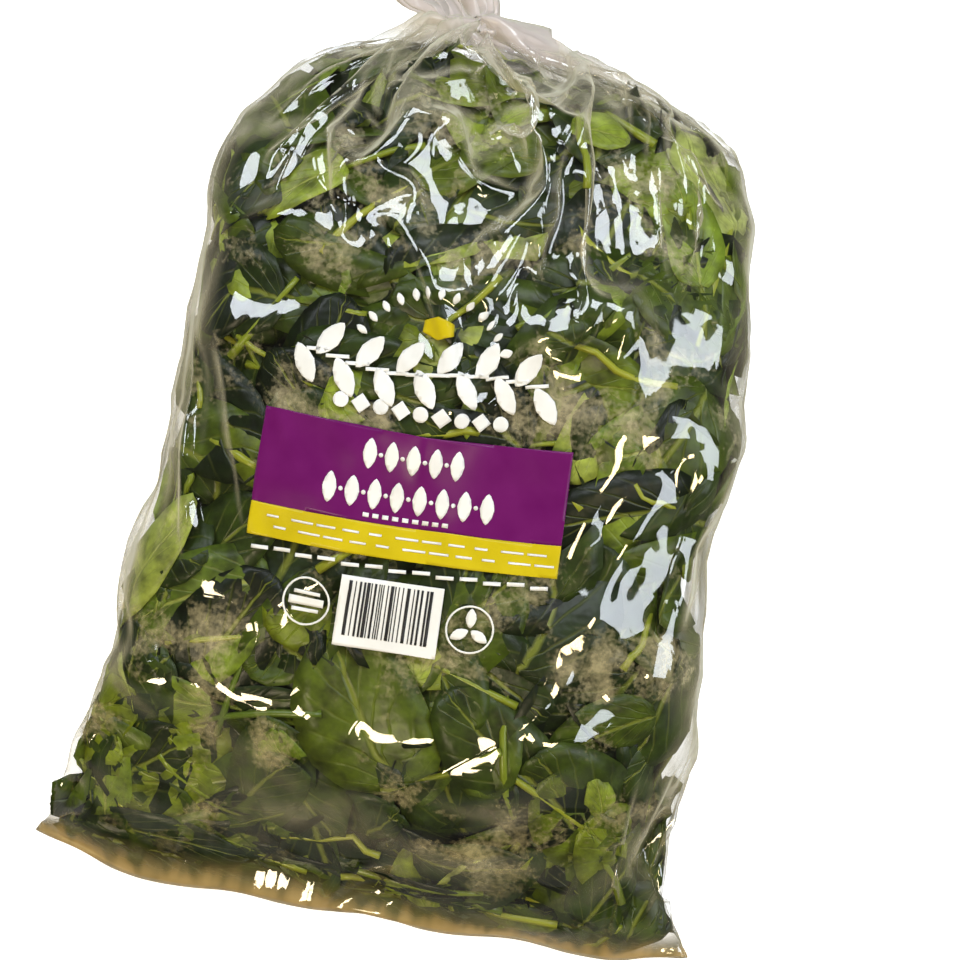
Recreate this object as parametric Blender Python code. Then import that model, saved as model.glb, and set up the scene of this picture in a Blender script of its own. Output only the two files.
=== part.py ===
"""A clear tube bag filled with baby spinach, lying on its back.

The bag is one length of film tube, heat-sealed straight across its bottom, filled, and
twisted shut at its neck, where the spare film fans out as a tail. The film and the leaves
pressed against it are one closed solid here, out to the film's outer face.

Frame: metres, +Z up, +Y from the bottom seal towards the neck, +X across the bag, and the
origin at the middle of the bounding box, on the surface that the bag lies on.
"""

import math

import bmesh
import bpy
import numpy as np
from mathutils import Matrix, noise

# Driving dimensions: a 10 by 17 inch tube bag holding one pound of leaves.
FLAT_WIDTH = 0.254  # of the empty bag, and so of its straight bottom seal
BODY_WIDTH = 0.226  # of the filled bag, near its bottom
CHEST_WIDTH = 0.207  # of the filled bag, where its shoulders start
BODY_LENGTH = 0.329  # from the bottom seal to the twist in the neck
BODY_CROWN = 0.078  # height of the filled bag where it is widest
CHEST_CROWN = 0.085  # its height where its shoulders start, with the same girth
TAIL_LENGTH = 0.042  # of the fanned film past the twist

# Shape of the sealed end.
SEAL_HEIGHT = 0.024  # of the seal line above the surface, at its middle
SEAL_THICKNESS = 0.0016  # of the two welded layers, as a solid
EAR_DROOP = 0.012  # how far the seal's two corners hang below its middle
EAR_LENGTH = 0.026  # how far up the bag's sides the corners reach
PILLOW_LENGTH = 0.110  # from the seal to where the bag has its full height
PILLOW_POWER = 1.6  # between 1, a straight ramp, and 2, a round end
BELLY_LENGTH = 0.046  # from the seal to where the underside meets the surface

# Shape of the body's cross-section: two half superellipses that meet at the keel line.
KEEL_HEIGHT = 0.038  # of the widest line above the surface
LENS_POWER = 1.25  # of the pointed section at the seal
CROWN_POWER = 2.05  # of the section's upper half along the body
BELLY_POWER = 2.6  # of its lower half, nearly flat where it lies on the surface
FULL_SECTION_AT = 0.070  # from the seal, where the lens has become the body's section
BODY_CENTRE = -0.004  # of the body's width, from the middle of the seal
BELLY_PRESS = 0.002  # how far the underside is pressed flat by the weight

# Shape of the shoulders, the twisted neck and the tail.
SHOULDER_FROM = 0.225  # where the sides start to curve in
SLOPE_FROM = 0.190  # where the top starts to fall towards the neck
SHOULDER_POWER, SHOULDER_ROOT = 2.2, 2.1
NECK_CENTRE = -0.030
NECK_HALF_WIDTH = 0.0135
NECK_HALF_HEIGHT = 0.0105
NECK_HEIGHT = 0.0125  # of the neck's axis above the surface
TAIL_HALF_WIDTH = 0.029
TAIL_HALF_THICKNESS = 0.0016
TAIL_WAVE = 0.0048  # height of the tail's pleats
TAIL_WAVES = 3.5
TAIL_TURN = math.radians(30)  # the tail leans towards -X
TURN_LENGTH = 0.012

# Gathers in the film and lumps from the leaves under it.
PLEATS = 15
PLEATS_FROM = 0.252
PLEAT_DEPTH = 0.13  # of the radius, at the neck
LUMP_SIZE = 0.034
LUMP_HEIGHT = 0.0030

# Facets.
AROUND = 88
SEAL_RINGS, BODY_RINGS, SHOULDER_RINGS, TAIL_RINGS = 16, 10, 18, 9


def ease(value, start, end):
    """0 before start, 1 after end, and a smooth step between them."""
    t = min(max((value - start) / (end - start), 0.0), 1.0)
    return t * t * (3 - 2 * t)


def quarter_round(t, power, root=None):
    """The height of a quarter superellipse of unit size, at distance t from its middle."""
    return (1 - min(max(t, 0.0), 1.0) ** power) ** (1 / (root or power))


def shoulder_round(along):
    """1 along the body, falling to 0 at the neck as the shoulders curve in."""
    inwards = (along - SHOULDER_FROM) / (BODY_LENGTH - SHOULDER_FROM)
    return quarter_round(inwards, SHOULDER_POWER, SHOULDER_ROOT)


def ring_positions():
    """Distances from the seal of all the rings, closer together where the bag curves."""
    sealed_end = [FULL_SECTION_AT * (i / SEAL_RINGS) ** 1.5 for i in range(SEAL_RINGS)]
    body = list(np.linspace(FULL_SECTION_AT, SHOULDER_FROM, BODY_RINGS, endpoint=False))
    turns = np.linspace(0, math.pi / 2, SHOULDER_RINGS, endpoint=False)
    shoulders = [SHOULDER_FROM + (BODY_LENGTH - SHOULDER_FROM) * math.sin(a) for a in turns]
    tail = list(np.linspace(BODY_LENGTH, BODY_LENGTH + TAIL_LENGTH, TAIL_RINGS))
    return sealed_end + body + shoulders + tail


def towards_chest(along):
    """0 where the body is widest, 1 where its shoulders start."""
    return ease(along, PILLOW_LENGTH / 2, SHOULDER_FROM)


def half_width(along):
    """Half the bag's width at a distance from the seal."""
    if along > BODY_LENGTH:
        fan = ease(along, BODY_LENGTH, BODY_LENGTH + TAIL_LENGTH)
        return NECK_HALF_WIDTH + (TAIL_HALF_WIDTH - NECK_HALF_WIDTH) * fan
    body = (BODY_WIDTH + (CHEST_WIDTH - BODY_WIDTH) * towards_chest(along)) / 2
    ear = (FLAT_WIDTH - BODY_WIDTH) / 2 * max(0.0, 1 - along / EAR_LENGTH) ** 1.6
    return NECK_HALF_WIDTH + (body + ear - NECK_HALF_WIDTH) * shoulder_round(along)


def keel_height(along):
    """Height of the widest line above the surface."""
    rise = ease(along, 0, FULL_SECTION_AT)
    body = SEAL_HEIGHT + (KEEL_HEIGHT - SEAL_HEIGHT) * rise
    fall = ease(along, SHOULDER_FROM, BODY_LENGTH)
    neck = body + (NECK_HEIGHT - body) * fall
    droop = (TAIL_WAVE + TAIL_HALF_THICKNESS - NECK_HEIGHT) * ease(
        along, BODY_LENGTH, BODY_LENGTH + TAIL_LENGTH / 2
    )
    return neck + droop


def rise_above_keel(along):
    """Height of the section's upper half."""
    if along > BODY_LENGTH:
        flat = ease(along, BODY_LENGTH, BODY_LENGTH + TAIL_LENGTH / 2)
        return NECK_HALF_HEIGHT + (TAIL_HALF_THICKNESS - NECK_HALF_HEIGHT) * flat
    crown = BODY_CROWN + (CHEST_CROWN - BODY_CROWN) * towards_chest(along)
    full = crown - KEEL_HEIGHT
    pillow = quarter_round(1 - along / PILLOW_LENGTH, PILLOW_POWER)
    slope = quarter_round((along - SLOPE_FROM) / (BODY_LENGTH - SLOPE_FROM), 2.0)
    body = SEAL_THICKNESS / 2 + (full - SEAL_THICKNESS / 2) * pillow
    return NECK_HALF_HEIGHT + (body - NECK_HALF_HEIGHT) * slope


def drop_below_keel(along):
    """Height of the section's lower half, which is pressed flat where it passes the surface."""
    if along > BODY_LENGTH:
        return rise_above_keel(along)
    full = KEEL_HEIGHT + BELLY_PRESS
    belly = quarter_round(1 - along / BELLY_LENGTH, PILLOW_POWER)
    fall = ease(along, SHOULDER_FROM, BODY_LENGTH)
    body = SEAL_THICKNESS / 2 + (full - SEAL_THICKNESS / 2) * belly
    return body + (NECK_HALF_HEIGHT - body) * fall


def spine(positions):
    """Where each ring's middle lies, and which way it faces, as (x, y, heading)."""
    points = []
    x, y, last = NECK_CENTRE, BODY_LENGTH, BODY_LENGTH
    for along in positions:
        if along <= BODY_LENGTH:
            sideways = (1 - shoulder_round(along)) ** 2
            centre = BODY_CENTRE * ease(along, 0, EAR_LENGTH)
            points.append((centre + (NECK_CENTRE - centre) * sideways, along, 0.0))
            continue
        heading = TAIL_TURN * ease(along, BODY_LENGTH, BODY_LENGTH + TURN_LENGTH)
        x -= (along - last) * math.sin(heading)
        y += (along - last) * math.cos(heading)
        last = along
        points.append((x, y, heading))
    return points


def signed_power(value, power):
    return math.copysign(abs(value) ** power, value)


def section(along):
    """One ring of the bag as (across, height) pairs, from the right side over the top."""
    fullness = ease(along, 0, FULL_SECTION_AT)
    crown_power = LENS_POWER + (CROWN_POWER - LENS_POWER) * fullness
    belly_power = LENS_POWER + (BELLY_POWER - LENS_POWER) * fullness
    round_neck = ease(along, SHOULDER_FROM, BODY_LENGTH)
    crown_power += (2 - crown_power) * round_neck
    belly_power += (2 - belly_power) * round_neck
    width, keel = half_width(along), keel_height(along)
    up, down = rise_above_keel(along), drop_below_keel(along)
    droop = EAR_DROOP * (1 - ease(along, 0, 2 * EAR_LENGTH))
    gather = PLEAT_DEPTH * ease(along, PLEATS_FROM, BODY_LENGTH)
    flatten = ease(along, BODY_LENGTH, BODY_LENGTH + TAIL_LENGTH / 2)
    points = []
    for i in range(AROUND):
        turn = 2 * math.pi * i / AROUND
        cosine, sine = math.cos(turn), math.sin(turn)
        power, height = (crown_power, up) if sine >= 0 else (belly_power, down)
        across = signed_power(cosine, 2 / power)
        above = height * signed_power(sine, 2 / power)
        phase = PLEATS * turn + 1.1 * math.sin(2 * turn + 0.7)
        pleat = 1 + gather * (1 - flatten) * math.cos(phase)
        wave = flatten * TAIL_WAVE * math.cos(TAIL_WAVES * math.pi * across + 0.6)
        hang = droop * across * across
        points.append((width * across * pleat, keel + above * pleat + wave - hang))
    return points


def lump(point, along):
    """How far the leaves push the film out at a point of the body, in metres."""
    body_only = ease(along, 0.02, 0.06) * (1 - ease(along, PLEATS_FROM, BODY_LENGTH))
    return LUMP_HEIGHT * body_only * noise.noise(point / LUMP_SIZE)


def bag_mesh():
    """Lofts the rings into one closed mesh: the film's outer face, seal to tail."""
    shape = bmesh.new()
    positions = ring_positions()
    rings = []
    for along, (x, y, heading) in zip(positions, spine(positions)):
        ring = []
        for across, height in section(along):
            place = (x + across * math.cos(heading), y + across * math.sin(heading), height)
            ring.append(shape.verts.new(place))
        rings.append(ring)
    for near, far in zip(rings, rings[1:]):
        for i in range(AROUND):
            following = (i + 1) % AROUND
            shape.faces.new((near[i], near[following], far[following], far[i]))
    close_end(shape, rings[0], facing_back=True)
    close_end(shape, rings[-1], facing_back=False)
    shape.normal_update()
    push_out_lumps(shape, rings, positions)
    for vert in shape.verts:
        vert.co.z = max(vert.co.z, 0.0)
    bmesh.ops.recalc_face_normals(shape, faces=shape.faces)
    return shape


def close_end(shape, ring, facing_back):
    """Joins a flat ring's upper edge to its lower edge, as a weld does."""
    for i in range(AROUND // 2):
        upper, lower = (ring[i], ring[i + 1]), (ring[-i - 1], ring[-i])
        corners = [upper[1], upper[0], lower[1], lower[0]]
        unique = list(dict.fromkeys(corners))
        shape.faces.new(unique if facing_back else unique[::-1])


def push_out_lumps(shape, rings, positions):
    moves = []
    for along, ring in zip(positions, rings):
        moves += [(vert, vert.normal * lump(vert.co, along)) for vert in ring]
    for vert, move in moves:
        vert.co += move


def clear_film():
    """Glossy clear film over green leaves, as one material for the solid."""
    material = bpy.data.materials.new("filled_film")
    material.use_nodes = True
    shader = material.node_tree.nodes["Principled BSDF"]
    shader.inputs["Base Color"].default_value = (0.075, 0.125, 0.03, 1.0)
    shader.inputs["Roughness"].default_value = 0.18
    shader.inputs["Metallic"].default_value = 0.0
    return material


def main():
    for obj in list(bpy.data.objects):
        bpy.data.objects.remove(obj, do_unlink=True)
    shape = bag_mesh()
    corners = np.array([vert.co for vert in shape.verts])
    low, high = corners.min(axis=0), corners.max(axis=0)
    middle = (low + high) / 2
    bmesh.ops.transform(
        shape, matrix=Matrix.Translation((-middle[0], -middle[1], -low[2])), verts=shape.verts
    )
    mesh = bpy.data.meshes.new("filled_bag")
    shape.to_mesh(mesh)
    shape.free()
    mesh.shade_smooth()
    mesh.materials.append(clear_film())
    bag = bpy.data.objects.new("filled_bag", mesh)
    bpy.context.scene.collection.objects.link(bag)


main()
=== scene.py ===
import math

import bpy
import numpy as np
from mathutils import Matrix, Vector
from mathutils.bvhtree import BVHTree


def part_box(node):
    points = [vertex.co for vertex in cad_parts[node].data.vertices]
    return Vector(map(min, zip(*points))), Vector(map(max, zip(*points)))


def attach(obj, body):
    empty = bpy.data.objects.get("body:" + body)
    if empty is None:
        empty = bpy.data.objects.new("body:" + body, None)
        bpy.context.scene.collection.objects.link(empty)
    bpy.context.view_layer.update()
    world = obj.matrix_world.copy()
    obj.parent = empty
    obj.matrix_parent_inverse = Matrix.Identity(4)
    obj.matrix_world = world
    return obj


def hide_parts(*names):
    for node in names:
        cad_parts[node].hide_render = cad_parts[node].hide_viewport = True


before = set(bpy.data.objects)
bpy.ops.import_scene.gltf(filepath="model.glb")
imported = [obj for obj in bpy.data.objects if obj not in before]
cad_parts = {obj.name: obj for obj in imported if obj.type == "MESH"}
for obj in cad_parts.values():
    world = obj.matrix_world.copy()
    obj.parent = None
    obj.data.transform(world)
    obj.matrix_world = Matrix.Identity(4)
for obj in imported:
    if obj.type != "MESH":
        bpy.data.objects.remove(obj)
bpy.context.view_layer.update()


# ------------------------------------------------------------------------------------------
# The bag's form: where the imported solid's outer face lies along the bag.
# The bag is cut into rings from the seal to just short of the neck, and each ring is walked
# round by its length, from the right side over the top, as the film runs.
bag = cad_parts["filled_bag"]
SEAL_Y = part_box("filled_bag")[0].y
BODY_LENGTH = 0.329
NECK_Y = SEAL_Y + BODY_LENGTH
NECK_X, NECK_Z = -0.030, 0.0125
RINGS = 70
RAYS = 168


def hit(origin, direction):
    """Where a ray meets the solid, or its own start if it meets nothing."""
    found, place, _, _ = bag.ray_cast(Vector(origin), Vector(direction))
    return np.array(place) if found else np.array(origin)


def ring_of_solid(y):
    """The solid's outline at y as RAYS points (x, z), evenly spaced along the outline."""
    widest = (0, 0, 0)
    for z in np.linspace(0.002, 0.05, 25):
        right, left = hit((1, y, z), (-1, 0, 0))[0], hit((-1, y, z), (1, 0, 0))[0]
        if abs(right) < 0.5 and right - left > widest[0]:
            widest = (right - left, right, left)
    width, right, left = widest
    middle_x = (right + left) / 2
    top, under = hit((middle_x, y, 1), (0, 0, -1))[2], hit((middle_x, y, -1), (0, 0, 1))[2]
    middle_z = (top + under) / 2
    outline = []
    for turn in np.linspace(0, 2 * math.pi, 360, endpoint=False):
        aim = (math.cos(turn) * width / 2, 0, math.sin(turn) * (top - under) / 2)
        outline.append(hit((middle_x, y, middle_z), aim)[[0, 2]])
    outline = np.array(outline + outline[:1])
    walked = np.r_[0, np.cumsum(np.hypot(*np.diff(outline, axis=0).T))]
    stops = np.linspace(0, walked[-1], RAYS, endpoint=False)
    return np.stack([np.interp(stops, walked, outline[:, k]) for k in (0, 1)], axis=1)


RINGS_FROM, RINGS_TO = SEAL_Y + 0.002, NECK_Y - 0.012
ring_y = np.linspace(RINGS_FROM, RINGS_TO, RINGS)
rings = np.array([ring_of_solid(y) for y in ring_y])
ring_middle = (rings.max(axis=1) + rings.min(axis=1)) / 2
ring_half = (rings.max(axis=1) - rings.min(axis=1)) / 2


def soft_noise(across, along, cell, seed, width, length):
    """Smooth noise on a grid that closes on itself across, in cells of about this size."""
    cells_across = max(3, round(width / cell))
    cells_along = max(3, round(length / cell)) + 3
    knots = np.random.default_rng(seed).standard_normal((cells_along, cells_across))
    u = np.arange(across) / across * cells_across
    v = np.linspace(0, cells_along - 3, along) + 1

    def spline(t):
        f = t - np.floor(t)
        return [
            (1 - f) ** 3 / 6,
            (3 * f**3 - 6 * f**2 + 4) / 6,
            (-3 * f**3 + 3 * f**2 + 3 * f + 1) / 6,
            f**3 / 6,
        ]

    first_u, first_v = np.floor(u).astype(int) - 1, np.floor(v).astype(int) - 1
    smooth = np.zeros((along, across))
    for i, share_v in enumerate(spline(v)):
        rows = knots[np.clip(first_v + i, 0, cells_along - 1)]
        for j, share_u in enumerate(spline(u)):
            smooth += share_v[:, None] * share_u * rows[:, (first_u + j) % cells_across]
    return smooth * 1.6


# ------------------------------------------------------------------------------------------
# The heap of leaves that fills the bag, as a whole: a rounded mass that keeps clear of the
# film at the sides and shoulders, with lumps where leaves are bunched. The film is laid over
# this surface, and the leaves are laid on it.
HEAP_FROM, HEAP_TO = SEAL_Y + 0.002, NECK_Y - 0.007
HEAP_POWER = 2.3
EARS_Y = SEAL_Y + 0.022
AIR_FROM, AIR_TO = SEAL_Y + 0.085, SEAL_Y + 0.165
LEFT_AIR, RIGHT_AIR = (0.009, 0.001), (0.007, -0.003)
TOP_AIR = 0.0045
ROUND_AT_SEAL, THIN_AT_SEAL, ROUND_AT_NECK = 0.012, 0.020, 0.026
LEAST_HALF, SOLID_HALF = 0.0008, 0.0015
LUMPS = ((0.045, 0.0040), (0.022, 0.0024), (0.012, 0.0011))
LUMP_COLUMNS, LUMP_ROWS = 360, 260
TABLE_Y = np.linspace(SEAL_Y - 0.03, NECK_Y + 0.08, 1200)


def heap_section(y):
    """Middle x, middle z, half width and half height of the heap at y."""
    middle_x = np.interp(y, ring_y, ring_middle[:, 0])
    middle_z = np.interp(y, ring_y, ring_middle[:, 1])
    wide, tall = np.interp(y, ring_y, ring_half[:, 0]), np.interp(y, ring_y, ring_half[:, 1])
    wide = np.where(y < EARS_Y, np.interp(EARS_Y, ring_y, ring_half[:, 0]), wide)
    from_seal = np.clip((y - HEAP_FROM) / ROUND_AT_SEAL, 0, 1)
    from_neck = np.clip((HEAP_TO - y) / ROUND_AT_NECK, 0, 1)
    round_seal = (1 - (1 - from_seal) ** 2.5) ** 0.4
    round_neck = np.sqrt(1 - (1 - from_neck) ** 2)
    thin_seal = np.sqrt(np.clip((y - HEAP_FROM) / THIN_AT_SEAL, 0, 1))
    left_air = np.interp(y, (AIR_FROM, AIR_TO), LEFT_AIR)
    right_air = np.interp(y, (AIR_FROM, AIR_TO), RIGHT_AIR)
    half_width = (wide - (left_air + right_air) / 2) * round_seal * round_neck
    half_height = (tall - TOP_AIR) * thin_seal * round_neck
    middle_x = middle_x + (left_air - right_air) / 2
    half_width = np.maximum(half_width, LEAST_HALF)
    half_height = np.maximum(half_height, LEAST_HALF)
    return middle_x, middle_z, half_width, half_height


def smoothed(values, reach=6):
    """The values with each one averaged over its neighbours within reach."""
    box = np.ones(2 * reach + 1) / (2 * reach + 1)
    return np.convolve(np.pad(values, reach, mode="edge"), box, mode="valid")


heap_columns = [smoothed(column) for column in heap_section(TABLE_Y)]
heap_slopes = [np.gradient(column, TABLE_Y) for column in heap_columns]
heap_table = np.stack(heap_columns + heap_slopes).astype(np.float32)
heap_lumps = sum(
    height * soft_noise(LUMP_COLUMNS, LUMP_ROWS, cell, 10 + i, 0.508, 0.406)
    for i, (cell, height) in enumerate(LUMPS)
).astype(np.float32)


def heap_at(points):
    """How far outside the heap's skin each point is, as a ratio, with that ratio's gradient."""
    x, y, z = points
    place = np.clip((y - TABLE_Y[0]) / (TABLE_Y[1] - TABLE_Y[0]), 0, len(TABLE_Y) - 1.001)
    row = place.astype(np.int32)
    share = place - row
    looked_up = heap_table[:, row] * (1 - share) + heap_table[:, row + 1] * share
    middle_x, middle_z, wide, tall, slope_x, slope_z, slope_wide, slope_tall = looked_up
    dx, dz = x - middle_x, z - middle_z
    part_x, part_z = (np.abs(dx) / wide) ** HEAP_POWER, (np.abs(dz) / tall) ** HEAP_POWER
    total = np.maximum(part_x + part_z, 1e-6)
    ratio = total ** np.float32(1 / HEAP_POWER)
    column = (np.arctan2(dz, dx) * np.float32(LUMP_COLUMNS / (2 * np.pi))) % LUMP_COLUMNS
    left = column.astype(np.int32) % LUMP_COLUMNS
    right = (left + 1) % LUMP_COLUMNS
    share_u = column - np.floor(column)
    along = np.clip((y - SEAL_Y) / BODY_LENGTH, 0, 0.9999) * (LUMP_ROWS - 1)
    row = along.astype(np.int32)
    share_v = along - row
    near = heap_lumps[row, left] * (1 - share_u) + heap_lumps[row, right] * share_u
    far = heap_lumps[row + 1, left] * (1 - share_u) + heap_lumps[row + 1, right] * share_u
    lump = near * (1 - share_v) + far * share_v
    radius = np.maximum(np.hypot(dx, dz) / np.maximum(ratio, 1e-3), 0.01)
    gradient_x = np.sign(dx) * ratio / total * part_x / np.maximum(np.abs(dx), 1e-5)
    gradient_z = np.sign(dz) * ratio / total * part_z / np.maximum(np.abs(dz), 1e-5)
    gradient_y = -ratio / total * (part_x * slope_wide / wide + part_z * slope_tall / tall)
    gradient_y -= gradient_x * slope_x + gradient_z * slope_z
    outside = ratio - 1 - lump / radius
    return outside, np.stack([gradient_x, gradient_y, gradient_z]), wide > SOLID_HALF


# ------------------------------------------------------------------------------------------
# The film: one length of clear tube, 254 mm wide when flat, sealed straight across its
# bottom and gathered at its neck. Its flat pattern is a grid of cells that hardly stretch.
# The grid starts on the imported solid's face, takes its own folds while air in the bag, its
# weight, the leaves and the surface below push it, and is made finer twice on the way.
FLAT_WIDTH = 0.254
FLAT_LENGTH = 0.432
GIRTH = 2 * FLAT_WIDTH
BODY_FILM = 0.385
RIGHT_SPARE, TOP_SPARE = 0.020, 0.010
TAIL_LENGTH = 0.042
PLEATS = 21
PLEAT_AT_NECK = 0.40
TAIL_TURN = math.radians(30)
NECK_HALF = np.array([0.0135, 0.0105])
TAIL_HALF = np.array([0.030, 0.005])
TAIL_Z, TAIL_LOWEST = 0.007, 0.0008
FILM_ACROSS, FILM_ALONG = 80, 68
AIR_VOLUME = 0.0039
ROUNDS = ((600, 1.5e-6, 3e-6), (600, 0.75e-6, 1.5e-6), (180, 0.4e-6, 0.8e-6))
SHEAR_HOLD = 0.7
BEND_HOLD = 0.02
MOTION_KEPT = 0.97
FLOOR_GAP = 0.0004
UNEVEN_FILM = 0.012
SEAL_HOLD, HEAP_GRIP, FLOOR_GRIP = 0.08, 0.1, 0.5
SEAL_Z, EARS_DROP = 0.021, 0.010
SEAL_SAG_AT = (-0.127, -0.095, -0.060, 0.009, 0.100, 0.127)
SEAL_SAG = (0.000, -0.0085, -0.0090, -0.0050, -0.0030, 0.003)
PLEAT_REACH, PLEAT_GROWTH, PLEAT_ON_BODY = 0.085, 0.075, 0.12


def ease(t):
    t = np.clip(t, 0, 1)
    return t * t * (3 - 2 * t)


def film_to_neck(columns):
    """How much film there is between the seal and the neck, at each column of the grid."""
    turn = 2 * np.pi * np.arange(columns) / columns
    return BODY_FILM + RIGHT_SPARE * np.cos(turn) + TOP_SPARE * np.sin(turn)


def film_on_solid():
    """The film's grid laid on the solid, with its gathers, as an array (3, along, across)."""
    solid = np.concatenate(
        [rings[..., :1], np.repeat(ring_y[:, None, None], RAYS, axis=1), rings[..., 1:]], axis=2
    )
    column = np.arange(FILM_ACROSS) / FILM_ACROSS * RAYS
    left = np.floor(column).astype(int)
    share = (column - left)[None, :, None]
    solid = solid[:, left] * (1 - share) + solid[:, (left + 1) % RAYS] * share
    turn = 2 * np.pi * np.arange(FILM_ACROSS) / FILM_ACROSS
    uneven = 0.075 * np.sin(turn + 1) + 0.045 * np.sin(2 * turn + 2.2) + 0.03 * np.sin(3 * turn)
    pleat = np.cos(PLEATS * (turn + uneven))
    neck_shape = 1 - PLEAT_AT_NECK + PLEAT_AT_NECK * pleat
    neck = np.stack(
        [
            NECK_X + NECK_HALF[0] * np.cos(turn) * neck_shape,
            np.full(FILM_ACROSS, NECK_Y),
            NECK_Z + NECK_HALF[1] * np.sin(turn) * neck_shape,
        ],
        axis=1,
    )
    middle = (solid.max(axis=1, keepdims=True) + solid.min(axis=1, keepdims=True)) / 2
    deep = np.clip((ring_y - NECK_Y + PLEAT_REACH) / PLEAT_GROWTH, 0, 1)
    deep = PLEAT_ON_BODY * deep[:, None, None] ** 2
    solid += (solid - middle) * deep * pleat[:, None] * (1, 0, 1)
    way = np.concatenate([solid, neck[None]])
    walked = np.cumsum(np.linalg.norm(np.diff(way, axis=0), axis=2), axis=0)
    walked = np.concatenate([np.zeros((1, FILM_ACROSS)), walked]) / walked[-1]
    grid = np.zeros((FILM_ALONG, FILM_ACROSS, 3))
    along = np.linspace(0, FLAT_LENGTH, FILM_ALONG)
    for i, length in enumerate(film_to_neck(FILM_ACROSS)):
        tail = np.maximum(along - length, 0)
        spread = ease(tail / TAIL_LENGTH)
        wide = NECK_HALF[0] * (1 - spread) + TAIL_HALF[0] * spread
        tall = NECK_HALF[1] * (1 - spread) + TAIL_HALF[1] * spread
        heading = TAIL_TURN * np.clip(3 * tail / TAIL_LENGTH, 0, 1)
        across = wide * math.cos(turn[i]) * neck_shape[i]
        x = NECK_X - np.sin(heading) * tail + across * np.cos(heading)
        y = NECK_Y + np.cos(heading) * tail + across * np.sin(heading)
        z = NECK_Z * (1 - spread) + TAIL_Z * spread + tall * math.sin(turn[i]) * neck_shape[i]
        for k, past in enumerate((x, y, np.maximum(z, TAIL_LOWEST))):
            on_body = np.interp(along / length, walked[:, i], way[:, i, k])
            grid[:, i, k] = np.where(along > length, past, on_body)
    return np.moveaxis(grid, 2, 0).astype(np.float32)


def film_normals(grid):
    """Normals of the grid, as long as four cells are large, pointing out of the bag."""
    across = np.roll(grid, -1, axis=2) - np.roll(grid, 1, axis=2)
    along = np.gradient(grid, axis=1) * 2
    return np.cross(along, across, axis=0)


def film_volume(grid):
    """The volume that the film closes in, in cubic metres."""
    corner = np.moveaxis(grid, 0, 2).astype(np.float64)
    near, far = corner[:-1], corner[1:]
    near_next, far_next = np.roll(near, -1, axis=1), np.roll(far, -1, axis=1)
    halves = np.sum(near * np.cross(near_next, far)) + np.sum(near_next * np.cross(far_next, far))
    return abs(halves) / 6


def pull(a, b, rest, hold):
    """Moves two sets of points towards their rest distance, each half of the way."""
    apart = b - a
    length = np.sqrt(apart[0] ** 2 + apart[1] ** 2 + apart[2] ** 2)
    apart *= (0.5 * hold) * (1 - rest / np.maximum(length, 1e-7))
    a += apart
    b -= apart


def pull_film(grid, across, along, slack):
    """One pass over all the film's cells: their sides, their diagonals and their bends."""
    rows = grid.shape[1]
    even, odd = rows // 2 * 2, (rows - 1) // 2 * 2
    pull(grid[:, :, 0::2], grid[:, :, 1::2], across * slack[:, 0::2], 1)
    pull(grid[:, :, 1:-1:2], grid[:, :, 2::2], across * slack[:, 1:-1:2], 1)
    pull(grid[:, :, -1:], grid[:, :, :1], across * slack[:, -1:], 1)
    diagonal = np.float32(math.hypot(across, along))
    for start, count in ((0, even), (1, odd)):
        a, b = grid[:, start : start + count : 2], grid[:, start + 1 : start + 1 + count : 2]
        cell = slack[start : start + count : 2]
        pull(a, b, along * cell, 1)
        pull(a[:, :, :-1], b[:, :, 1:], diagonal * cell[:, :-1], SHEAR_HOLD)
        pull(a[:, :, -1:], b[:, :, :1], diagonal * cell[:, -1:], SHEAR_HOLD)
        pull(a[:, :, 1:], b[:, :, :-1], diagonal * cell[:, 1:], SHEAR_HOLD)
        pull(a[:, :, :1], b[:, :, -1:], diagonal * cell[:, :1], SHEAR_HOLD)
    for start in range(4):
        a, b = grid[:, :, start:-2:4], grid[:, :, start + 2 :: 4]
        pull(a, b, 2 * across, BEND_HOLD)
        a = grid[:, start:-2:4]
        pull(a, grid[:, start + 2 :: 4][:, : a.shape[1]], 2 * along, BEND_HOLD)


def keep_off_heap(grid, before):
    """Moves film that is inside the heap out to its skin, with a little friction."""
    outside, gradient, solid = heap_at(grid)
    touching = (outside < 0) & solid
    steep = np.sqrt((gradient**2).sum(axis=0)) + 1e-6
    way = np.where(touching, np.minimum(-outside / steep, 0.004) / steep, 0)
    grid += gradient * way
    before += (grid - before) * (touching * np.float32(HEAP_GRIP))


def seal_sag(x):
    """How far along the bag the seal has settled off a straight line, at x."""
    return np.interp(x, SEAL_SAG_AT, SEAL_SAG)


def seal_line(count):
    """Where the straight seal settles: its ears hang down, and it sags and is slightly wavy."""
    u = np.arange(count) / count * GIRTH
    x = np.where(u <= FLAT_WIDTH, FLAT_WIDTH / 2 - u, u - 1.5 * FLAT_WIDTH)
    y = SEAL_Y + seal_sag(x) + 0.0012 * np.sin(x / 0.0087 + 1)
    z = SEAL_Z - EARS_DROP * (x / (FLAT_WIDTH / 2)) ** 2 + 0.0022 * np.sin(x / 0.017 + 0.5)
    return np.stack([x * 0.995, y, z]).astype(np.float32)


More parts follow.
